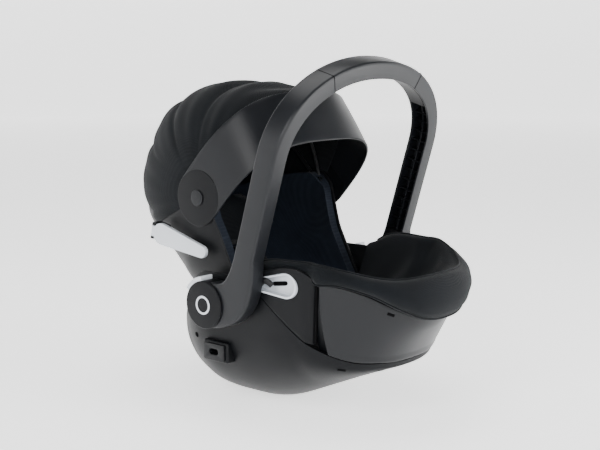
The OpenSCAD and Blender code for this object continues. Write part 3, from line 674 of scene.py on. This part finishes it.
for obj, mat, slot, node in (
        (panel, CHARCOAL, "charcoal_plastic", "side_panel"),
        (guide, SILVER, "silver_plastic", "belt_guide"),
        (hook, BLACK, "black_plastic", "belt_hook"),
        (shade_in_slot, PAINTED_SHADE, "black_plastic", None)):
    left = mirrored(obj, obj.name.replace("right", "left"))
    finish_piece(obj, mat, "carrier", slot, *([node + "_right"] if node else []))
    finish_piece(left, mat, "carrier", slot, *([node + "_left"] if node else []))

# ------------------------------------------------------------------ back shell

s_values = np.linspace(-30, 296, 60)
t_values = np.linspace(0, math.pi, 72)


def back_grid(drop, s_list=s_values, power=2.5):
    out = []
    for s in s_list:
        rim = float(curve(BACK_RIM, s, 7))
        a, b = float(back_width(s)) - drop, rim + float(back_depth(s)) - drop
        y, z = back_yz(s, rim - b * spow(np.sin(t_values), 2 / power))
        out.append(np.stack([-a * spow(np.cos(t_values), 2 / power), y, z], 1))
    return np.array(out)


back = wall("back_shell.skin", back_grid(0), back_grid(4), bevel=1.0)
axle_hole = disc("axle_hole", -190, 190, PIVOT[0], PIVOT[1], 9.3, 0)
back = cut(back, axle_hole)
finish_piece(back, CHARCOAL, "backrest", "charcoal_plastic", "back_shell")

# ------------------------------------------------------------------ visor


def visor_grid(drop, n=96, across=13):
    out = []
    for t in np.linspace(0, math.pi, n):
        h = math.sin(t) ** (2 / 3.2)
        lean = math.radians(mix(43, 57, h))
        reach = (174 - drop) * h
        u = 92 * (0.5 - np.linspace(0, 1, across))
        crown = 1.2 * np.cos(np.linspace(-1, 1, across) * math.pi / 2) * h
        x = np.full(across, -(165 - drop) * spow(math.cos(t), 2 / 3.2))
        r = reach + crown
        out.append(np.stack([x, HOOD[0] + r * math.cos(math.radians(131.5)) + u * math.cos(lean),
                             HOOD[1] + r * math.sin(math.radians(131.5)) + u * math.sin(lean)], 1))
    return np.array(out)


visor = wall("visor.skin", visor_grid(0), visor_grid(3), bevel=0.9)
finish_piece(visor, CHARCOAL_SATIN, "hood", "charcoal_plastic", "visor")
for sx, side in SIDES:
    d = disc("visor_end_" + side, sx * 161.8, sx * 165.35, HOOD[0], HOOD[1], 46, 1.4)
    finish_piece(d, CHARCOAL, "hood", "charcoal_plastic")
    cap = disc("visor_cap_" + side, sx * 165.2, sx * 167.4, HOOD[0], HOOD[1], 13, 0.6)
    finish_piece(cap, CHARCOAL_SATIN, "hood", "charcoal_plastic")

# ------------------------------------------------------------------ handle

ARM_X, ARM_START, ARCH_Z, TOP = 197.5, np.array([-64.0, 262.0]), 414.0, 548.0
SLOPE = (-148.0 + 64.0) / (548 - 262)
ARCH_POWER = 2.15


def arm_y(z):
    return ARM_START[0] + SLOPE * (z - ARM_START[1])


P0, P1, P2 = np.array([17, 180.0]), np.array([-44, 178.0]), np.array([-56, 214.0])
tt = np.linspace(0, 1, 36)[:-1, None]
bez = (1 - tt) ** 3 * P0 + 3 * (1 - tt) ** 2 * tt * P1 + 3 * (1 - tt) * tt ** 2 * P2 + tt ** 3 * ARM_START
a = np.linspace(math.pi, 0, 110)
arch_xz = np.stack([ARM_X * spow(np.cos(a), 2 / ARCH_POWER),
                    ARCH_Z + (TOP - ARCH_Z) * spow(np.sin(a), 2 / ARCH_POWER)], 1)
rise = np.stack([np.full(24, -ARM_X), np.linspace(ARM_START[1], ARCH_Z, 25)[:-1]], 1)
hook_n = len(bez)
knee = np.column_stack([np.full(hook_n, -ARM_X), bez])
up = np.column_stack([rise[:, 0], arm_y(rise[:, 1]), rise[:, 1]])
over = np.column_stack([arch_xz[:, 0], arm_y(arch_xz[:, 1]), arch_xz[:, 1]])
flip = np.array([-1, 1, 1])
path = np.concatenate([knee, up, over, (up * flip)[::-1], (knee * flip)[::-1]])
xz = path[:, [0, 2]]
plane_n = np.array([0, 1, -SLOPE]) / math.hypot(1, SLOPE)
tangent = np.gradient(path, axis=0)
for _ in range(3):
    tangent[1:-1] = (tangent[:-2] + 2 * tangent[1:-1] + tangent[2:]) / 4
tangent /= np.linalg.norm(tangent, axis=1)[:, None]
frames = []
for c, t in zip(path, tangent):
    if c[2] > ARCH_Z:
        n = plane_n
    else:
        n = np.array([0, t[2], -t[1]]) * (1 if c[0] < 0 else -1)
        n /= np.linalg.norm(n)
    f = np.cross(t, n)
    frames.append((f / np.linalg.norm(f), n))
grow = np.concatenate([mix(2.0, 1.0, tt[:, 0] ** 1.3)])
depth = np.concatenate([grow, np.ones(len(path) - 2 * hook_n), grow[::-1]])


def rounded(points, radius, steps=4):
    """A closed polygon with its marked corners rounded: points are (a, b, round or not)."""
    out = []
    n = len(points)
    for i, (x, y, r) in enumerate(points):
        p = np.array([x, y], float)
        if not r:
            out.append(p)
            continue
        u = np.array(points[i - 1][:2], float) - p
        v = np.array(points[(i + 1) % n][:2], float) - p
        d = min(radius * r, 0.45 * np.linalg.norm(u), 0.45 * np.linalg.norm(v))
        u, v = p + u / np.linalg.norm(u) * d, p + v / np.linalg.norm(v) * d
        for k in range(steps + 1):
            t = k / steps
            out.append((1 - t) ** 2 * u + 2 * (1 - t) * t * p + t ** 2 * v)
    return np.array(out)


ht, hd = 14.0, 18.5
channel = rounded([(ht, -hd, 1.6), (ht, hd, 1), (-ht, hd, .3), (-ht, hd - 3.5, .3),
                   (ht - 4, hd - 3.5, 0), (ht - 4, 1.3, 0), (-6, 1.3, .2), (-6, -1.3, .2),
                   (ht - 4, -1.3, 0), (ht - 4, -hd + 3.5, 0), (-ht, -hd + 3.5, .3), (-ht, -hd, .3)], 3.2)
bar_verts = np.concatenate([c + channel[:, :1] * fa + channel[:, 1:] * d * fb
                            for c, (fa, fb), d in zip(path, frames, depth)])
side_n = len(channel)
bar_faces = grid_faces(len(path), side_n, True)
bar_faces += [tuple(range(side_n))[::-1], tuple(range((len(path) - 1) * side_n, len(path) * side_n))]
bar = add_object("handle_frame.bar", bar_verts, bar_faces, 32)
finish_piece(bar, HANDLE, "handle", "charcoal_plastic", "handle_frame")

tangent2 = np.gradient(bez, axis=0)
tangent2 /= np.linalg.norm(tangent2, axis=1)[:, None]
normal = np.stack([-tangent2[:, 1], tangent2[:, 0]], 1)
half = 18.5 * grow[:, None] - 3
hook_shape = np.concatenate([bez + normal * half, (bez - normal * half)[::-1]])
for sx, side in SIDES:
    core = prism("handle_knee_" + side, hook_shape, sx * 184.5, sx * 208, 0.8, 2)
    finish_piece(core, CHARCOAL, "handle", "charcoal_plastic")
    hub = disc("handle_hub_" + side, sx * 183.5, sx * 216, PIVOT[0], PIVOT[1], 38, 2.2)
    finish_piece(hub, CHARCOAL, "handle", "charcoal_plastic")
    for k in range(1, 13):
        z = mix(262, 480, k / 12.5)
        if z > ARCH_Z:
            i = np.argmin(np.abs(xz[:, 1] - z) + (xz[:, 0] * sx < 0) * 1e3)
            c, (fa, fb) = path[i], frames[i]
        else:
            c, (fa, fb) = np.array([sx * ARM_X, arm_y(z), z]), (np.array([sx, 0, 0.0]), plane_n)
        along = np.cross(fa, fb)
        corners = np.array([c + fa * p + fb * q + along * r
                            for p in (-7, 11) for q in (-16, 16) for r in (-1.2, 1.2)])
        rib = add_object("handle_rib_%s_%02d" % (side, k), corners,
                         [(0, 1, 3, 2), (4, 6, 7, 5), (0, 4, 5, 1),
                          (2, 3, 7, 6), (0, 2, 6, 4), (1, 5, 7, 3)], 30)
        finish_piece(rib, CHARCOAL, "handle", "charcoal_plastic")

i0, i1 = np.argmin(np.abs(path[:, 0] + 112)), np.argmin(np.abs(path[:, 0] - 112))
plate = np.array([(-ht - 0.2, hd - 4.2), (-ht + 4.5, hd - 3.8),
                  (-ht + 4.5, -hd + 3.8), (-ht - 0.2, -hd + 4.2)])
cover = sweep("grip_cover.skin", path[i0 - 14: i1 + 15], plate, frames[i0 - 14: i1 + 15], smooth=35)
finish_piece(cover, CHARCOAL, "handle", "black_plastic", "grip_cover")


def band_line(index, off=0.15, width=0.5):
    """The path of a fine seam round the outside of the handle at a point of its path; the seam is drawn as a
    near-black line of painted shade.
    """
    c, (fa, fb) = path[index], frames[index]
    r = 3.2
    turn = np.linspace(0, math.pi / 2, 7)
    low = [(ht - r + (r + off) * math.sin(v), -hd + r - (r + off) * math.cos(v)) for v in turn]
    section = [(-ht, -hd - off)] + low + [(p, -q) for p, q in low[::-1]] + [(-ht, hd + off)]
    return np.array([c + fa * p + fb * q for p, q in section])


# painted shade: two fine near-black rings on the handle stand in for the shade in its seams
for k, index in enumerate((i0, i1)):
    seam = tube("grip_seam_shade_%d" % k, band_line(index), 0.45, 6)
    finish_piece(seam, PAINTED_SHADE, "handle", "black_plastic")

for sx, side in SIDES:
    for node, body, edge in (("hub_ring_", "handle", 0.3), ("handle_button_", "button_" + side, 1.2),
                             ("impact_wing_", "wing_" + side, 1.2)):
        piece = refined(node + side, SILVER, edge)
        finish_piece(piece, SILVER, body, "silver_plastic", node + side)

# ------------------------------------------------------------------ hood cloth


def hood_surface(n_g=110, n_t=120, g0=-24.0, g1=120.0):
    base = [(-30, 203), (-12, 216), (2, 221), (14, 219), (28, 212), (43, 208), (53, 200),
            (71, 183), (90, 171), (110, 168), (122, 168)]
    ribs = np.array([-14.0, 24.0, 50.0, 80.0, 116.0])
    g = np.linspace(g0, g1, n_g)
    t = np.linspace(math.radians(3), math.radians(177), n_t)
    out = []
    for k, gg in enumerate(g):
        r = float(curve(base, gg, 5))
        j = int(np.clip(np.searchsorted(ribs, gg) - 1, 0, len(ribs) - 2))
        w = np.clip((gg - ribs[j]) / (ribs[j + 1] - ribs[j]), 0, 1)
        puff = 10.5 * (math.sin(math.pi * w) ** 0.6) if gg > ribs[0] else 0.0
        near_rib, next_rib = (gg - ribs[j]) / 2.2, (gg - ribs[j + 1]) / 2.2
        puff -= 4.0 * math.exp(-near_rib ** 2) + 4.0 * math.exp(-next_rib ** 2)
        st = np.sin(t) ** (2 / 2.6)
        x = -157.0 * spow(np.cos(t), 2 / 2.6)
        turn = math.radians(gg)
        broad = 2.3 * np.sin(turn * 17 + 1.4 * np.sin(t * 2 + j))
        narrow = 1.5 * np.sin(turn * 31 + 2.2 * np.cos(t * 3 - j))
        fold = (broad + narrow) * (0.35 + 0.65 * np.sin(t * 3) ** 2)
        d = (r + puff * np.sin(t) ** 0.8) * st + fold * np.sin(t)
        low = ramp((-6 - gg) / 16)
        x = x * (1 - 0.02 * low)
        out.append(np.stack([x, HOOD[0] + d * math.cos(turn), HOOD[1] + d * math.sin(turn)], 1))
    return np.array(out)


hood_grid = hood_surface()
hood = thicken(surface("hood_cloth", hood_grid), 1.4, smooth=60)
finish_piece(hood, FABRIC, None, "black_fabric", "hood_fabric")
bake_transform(hood)

# ------------------------------------------------------------------ seat and foot cover

FLOOR = [(-280, 178), (-200, 176), (-160, 172), (-142, 158), (-100, 128), (-60, 108), (-10, 98)]
HIGH = [(-300, 240), (-266, 234), (-240, 240), (-210, 249), (-170, 258), (-90, 258), (-60, 252), (-30, 234)]


def cover_grid():
    straight = np.linspace(-26, -60, 8)
    toe_half, toe_long = 176.0, 286.0
    long = toe_long + BOW
    aa = np.linspace(math.pi, 0, 130)
    arc = np.stack([toe_half * spow(np.cos(aa), 2 / PLAN), BOW - long * spow(np.sin(aa), 2 / PLAN)], 1)
    left = np.stack([np.full(8, -toe_half), straight], 1)
    line = np.concatenate([left[:-1], arc, (left * [-1, 1])[::-1][1:]])
    out = []
    for x, y in line:
        toe = float(ramp((-168 - y) / 110))
        n = np.array([x / toe_half ** 2, (y - BOW) / long ** 2 if y < BOW else 0])
        n = n / np.linalg.norm(n)
        base = np.array([x, y])
        zl = float(leg_rim_z(y + 10)) + 1 if y < -166 else float(curve(PANEL_TOP, y, 6)) - 5
        zh = float(curve(HIGH, y, 12))
        tall = zh - zl
        inset = mix(-7.5, 3.0, float(ramp((-150 - y) / 25)))
        wide = mix(5.0, 16.0, toe)
        prof = [(inset - 4, -3), (inset + wide * .25, 1), (inset + wide * 0.75, tall * .16),
                (inset + wide, tall * .42),
                (inset + wide * .85, tall * .7), (inset + wide * .35, tall * .93), (inset - wide * .35, tall),
                (inset - wide * 1.15 - 2, tall * .93), (inset - wide * 1.7 - 5, tall * .72)]
        col = [np.array([*(base + n * o), zl + h]) for o, h in prof]
        yc = max(y, -205.0)
        start = col[-1]
        end = np.array([0.0, min(yc, -28.0), float(curve(FLOOR, yc, 10))])
        for w in np.linspace(0, 1, 22)[1:]:
            p = mix(start, end, w)
            drop = (1 - (1 - w) ** 2.6) if w < 1 else 1
            p[2] = mix(start[2], end[2], drop)
            col.append(p)
        out.append(np.array(col))
    return np.array(out)


cg = cover_grid()
wob = rng.normal(size=8)
for i in range(cg.shape[0]):
    for j in range(9, cg.shape[1] - 1):
        x, y, z = cg[i, j]
        broad = 1.6 * math.sin(x / 19 + wob[0] + y / 43) * math.sin(y / 23 + wob[1])
        cg[i, j, 2] += broad + 1.0 * math.sin(x / 9.0 + y / 14 + wob[2])
seat_cover = thicken(surface("seat_cover", cg), 2.2, smooth=60)
finish_piece(seat_cover, FABRIC, None, "black_fabric", "seat_cushion", "foot_cover", "leg_rest_cushion")
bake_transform(seat_cover)

# ------------------------------------------------------------------ back cover, headrest and pads


def liner_grid(drop, sink, low_cap):
    out = []
    for s in np.linspace(-26, 284, 60):
        rim = float(curve(BACK_RIM, s, 7))
        a = float(back_width(s)) - drop
        b = max(rim + float(back_depth(s)) - sink, 6)
        low = max(min(rim - 4, low_cap), rim - 0.6 * b)
        first = math.asin(((rim - low) / b) ** (2.5 / 2))
        t = np.linspace(first, math.pi - first, 60)
        y, z = back_yz(s, rim - b * spow(np.sin(t), 2 / 2.5))
        out.append(np.stack([-a * spow(np.cos(t), 2 / 2.5), y, z], 1))
    return np.array(out)


liner = wall("back_cover", liner_grid(6, 6, 90), liner_grid(24, 27, 86), smooth=60)
finish_piece(liner, FABRIC_IN, "backrest", "black_fabric", "back_cushion")
for node, body, mat, slot in (("headrest_cushion", "headrest", FABRIC, "black_fabric"),
                              ("shoulder_pads", "backrest", FABRIC, "black_fabric"),
                              ("crotch_pad", "carrier", FABRIC, "black_fabric")):
    pad = refined(node, mat, 5.0 if node != "headrest_cushion" else 3.0, name=node + ".soft")
    finish_piece(pad, mat, body, slot, node)

for node, body, mat, slot, edge in (
        ("hub_mount_left", "carrier", CHARCOAL, "charcoal_plastic", 0.6),
        ("hub_mount_right", "carrier", CHARCOAL, "charcoal_plastic", 0.6),
        ("adapter_socket_left", "carrier", BLACK, "black_plastic", 0.5),
        ("adapter_socket_right", "carrier", BLACK, "black_plastic", 0.5),
        ("wing_bracket_left", "backrest", BLACK, "black_plastic", 1.0),
        ("wing_bracket_right", "backrest", BLACK, "black_plastic", 1.0),
        ("buckle", "carrier", BLACK, "black_plastic", 3.0),
        ("buckle_button", "buckle_press", RED, "red_plastic", 0.8),
        ("strap_tongues", "carrier", STEEL, "steel", 0.5),
        ("adjuster_housing", "carrier", BLACK, "black_plastic", 1.5),
        ("adjuster_button", "adjuster_press", SILVER, "silver_plastic", 1.0),
        ("recline_handle", "recline_lever", BLACK, "black_plastic", 2.0),
        ("rail_guides", "carrier", CHARCOAL, "charcoal_plastic", 0.5),
        ("leg_rest_rails", "leg_rest", STEEL, "steel", 0.8),
        ("headrest_shell", "headrest", BLACK, "black_plastic", 0.8)):
    finish_piece(refined(node, mat, edge), mat, body, slot, node)

# ------------------------------------------------------------------ webbing


def on_back(s, n):
    return np.array(back_yz(s, n))


for sx, side in SIDES:
    on_pad = ((150, -78), (146, -71), (120, -69.6), (80, -69.6), (36, -69.6), (22, -68))
    top = [(sx * 38, *on_back(s, n)) for s, n in on_pad]
    low = [(sx * 30, 60, 138), (sx * 20, 0, 138), (sx * 14, -44, 160), (sx * 13, -69, 181)]
    strap = ribbon("shoulder_strap_" + side, spline(top[:-1] + low, 70), 30, 1.8)
    finish_piece(strap, WEBBING, None, "webbing", *(["shoulder_straps"] if sx < 0 else []))
    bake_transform(strap)
crotch_path = spline([(0, -88, 112), (0, -82, 124), (0, -74, 138), (0, -68, 150)], 24)
crotch = ribbon("crotch_webbing", crotch_path, 32, 2.6)
finish_piece(crotch, WEBBING, "carrier", "webbing", "crotch_strap")
adjust_path = spline([(0, -134, 160), (0, -146, 166), (0, -158, 178), (0, -168, 182), (0, -182, 183)], 30)
adjust = ribbon("adjuster_strap", adjust_path, 26, 1.8)
finish_piece(adjust, WEBBING, "carrier", "webbing")

# ------------------------------------------------------------------ seams, slots and grooves as painted shade, and piping


def cover_line(index, out=0.9):
    """Points along the cover on one of its rings, just above the cloth."""
    line = cg[:, index].copy()
    around = np.gradient(line, axis=0)
    down = cg[:, min(index + 1, cg.shape[1] - 1)] - cg[:, max(index - 1, 0)]
    n = np.cross(around, down)
    n /= np.linalg.norm(n, axis=1)[:, None] + 1e-9
    middle = line.mean(axis=0)
    n *= np.sign(np.sum(n * (line - middle + [0, 0, 60]), axis=1))[:, None]
    return line + n * out


def lozenge(name, grid, at, length, radius, body):
    """A short near-black strip of painted shade standing in for a slot, lying on a surface grid, close to the
    point at.
    """
    rows_n, cols_n = grid.shape[:2]
    k = np.argmin(np.linalg.norm(grid.reshape(-1, 3) - at, axis=1))
    r, c = k // cols_n, k % cols_n
    centre = grid[r, c]
    along = grid[r, (c + 1) % cols_n] - grid[r, c - 1]
    along /= np.linalg.norm(along)
    rise_v = grid[min(r + 1, rows_n - 1), c] - grid[max(r - 1, 0), c]
    n = np.cross(along, rise_v)
    n /= np.linalg.norm(n)
    n *= np.sign(np.dot(n, [centre[0], centre[1], 0]))
    line = np.array([centre + along * w for w in np.linspace(-length / 2, length / 2, 8)])
    for mirror_x, tag in ((1, "left"), (-1, "right")):
        flip_x = [mirror_x, 1, 1]
        slot = tube(name + "_" + tag, line * flip_x, radius, 10, squash=0.35, normal=n * flip_x)
        finish_piece(slot, PAINTED_SHADE, body, "black_plastic")


lower_grid = np.array(rings[:30])
# painted shade: near-black strips on the shells in place of real slots and a rear hole
lozenge("shell_slot_shade_toe", lower_grid, np.array([-114, -182, 93.0]), 13, 2.4, "carrier")
lozenge("shell_slot_shade_side", lower_grid, np.array([-60, -212, 84.0]), 9, 2.0, "carrier")
lozenge("leg_slot_shade", leg_grid(0), np.array([-89, -251, 183.0]), 12, 2.2, "leg_rest")
lozenge("shell_hole_shade_rear", lower_grid, np.array([-158, 96, 112.0]), 5, 4.2, "carrier")

for name, index, radius in (("cover_piping", 6, 1.5), ("cover_hem", 1, 1.2)):
    cord = tube(name, cover_line(index)[3:-3], radius, 8)
    finish_piece(cord, FABRIC, None, "black_fabric")
    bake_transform(cord)
# painted shade: a near-black strand along each panel post stands in for the shade in its groove
for sx, side in SIDES:
    post = []
    for z in np.linspace(float(rim_z(-148)) + 4, 238, 18):
        y = mix(-148, -163, (z - float(rim_z(-148))) / 105)
        post.append((sx * (float(flank_x(y - 1.5, z)) - 6.2), y - 2.2, z))
    post_shade = tube("panel_post_groove_shade_" + side, post, 2.6, 10)
    finish_piece(post_shade, PAINTED_SHADE, "carrier", "black_plastic")

# ------------------------------------------------------------------ floor, light and camera


def studio_floor():
    """A round floor that curves up into a low wall far away on every side."""
    bend = [(8 + 1.5 * math.sin(a), 1.5 - 1.5 * math.cos(a)) for a in np.linspace(0, math.pi / 2, 14)]
    around = np.linspace(0, 2 * math.pi, 96, endpoint=False)
    verts = [(r * 1000 * math.cos(a), r * 1000 * math.sin(a), z * 1000 - 0.2)
             for r, z in [(0.02, 0.0), (4.0, 0.0)] + bend + [(9.5, 5.0)] for a in around]
    return add_object("studio_floor", verts, grid_faces(len(bend) + 3, len(around), True), 60)


floor = studio_floor()
mat, nodes, links, p = new_material("paper")
p.inputs["Base Color"].default_value = (0.9, 0.9, 0.9, 1)
p.inputs["Roughness"].default_value = 0.9
p.inputs["Emission Color"].default_value = (1, 1, 1, 1)
p.inputs["Emission Strength"].default_value = 1.25
floor.data.materials.append(mat)

world = bpy.data.worlds.new("studio")
world.use_nodes = True
world.node_tree.nodes["Background"].inputs["Color"].default_value = (1, 1, 1, 1)
world.node_tree.nodes["Background"].inputs["Strength"].default_value = 0.14
bpy.context.scene.world = world


def softbox(name, loc, target, size, power):
    data = bpy.data.lights.new(name, "AREA")
    data.shape = "RECTANGLE"
    data.size, data.size_y = size
    data.energy = power
    obj = bpy.data.objects.new(name, data)
    bpy.context.scene.collection.objects.link(obj)
    obj.location = loc
    toward = mathutils.Vector(target) - mathutils.Vector(loc)
    obj.rotation_euler = toward.to_track_quat("-Z", "Y").to_euler()
    return obj


softbox("key_left", (-2.6, -0.4, 1.9), (0, 0, 0.25), (1.2, 1.6), 42)
softbox("rim_right", (0.9, -2.6, 1.0), (0, -0.1, 0.2), (0.9, 1.4), 38)
softbox("inside_fill", (-1.5, -1.7, 0.9), (0, 0.05, 0.3), (0.5, 0.5), 10)
softbox("low_right", (0.75, -1.15, 0.04), (0.1, -0.26, 0.16), (0.9, 0.7), 14)
softbox("top", (0.2, 0.3, 2.6), (0, 0, 0.2), (1.6, 1.6), 34)

cam_data = bpy.data.cameras.new("camera")
cam_data.lens = 68.4
cam_data.sensor_width = 36
camera = bpy.data.objects.new("camera", cam_data)
bpy.context.scene.collection.objects.link(camera)
camera.location = (-1.4535, -1.2196, 0.5767)
toward = mathutils.Vector((0, 0, 0.283)) - camera.location
camera.rotation_euler = toward.to_track_quat("-Z", "Y").to_euler()
bpy.context.scene.camera = camera
